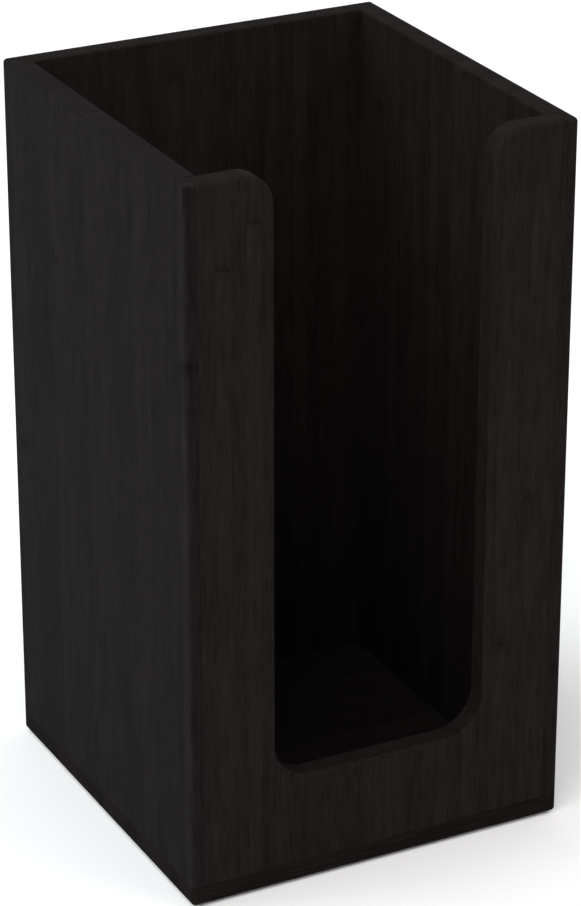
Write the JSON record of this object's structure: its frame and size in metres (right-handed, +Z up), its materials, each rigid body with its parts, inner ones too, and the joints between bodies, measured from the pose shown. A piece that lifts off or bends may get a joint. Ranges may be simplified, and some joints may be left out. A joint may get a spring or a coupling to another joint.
{
  "type": "napkin dispenser",
  "caption": "Open-topped upright napkin holder in dark-stained bamboo, with a tall round-cornered slot in its front board, on low rubber feet.",
  "frame": {"origin": "centre of the footprint, on the plane that the feet rest on", "axes": "+X to the dispenser's right as seen from its slotted front, +Y to its back, +Z up to the open rim"},
  "size_m": [0.14, 0.14, 0.255],
  "materials": {
    "stained_bamboo": "near-black stain under satin lacquer, upright bamboo grain",
    "stained_bamboo_base": "near-black stain under satin lacquer, grain from left to right",
    "screw_steel": "zinc-plated",
    "foot_rubber": "matte black"
  },
  "bodies": {
    "root": {"left_side": "stained_bamboo", "right_side": "stained_bamboo", "back_panel": "stained_bamboo", "front_panel": "stained_bamboo", "base_panel": "stained_bamboo_base", "base_screws": "screw_steel", "foot_front_left": "foot_rubber", "foot_front_right": "foot_rubber", "foot_back_left": "foot_rubber", "foot_back_right": "foot_rubber"}
  },
  "joints": []
}
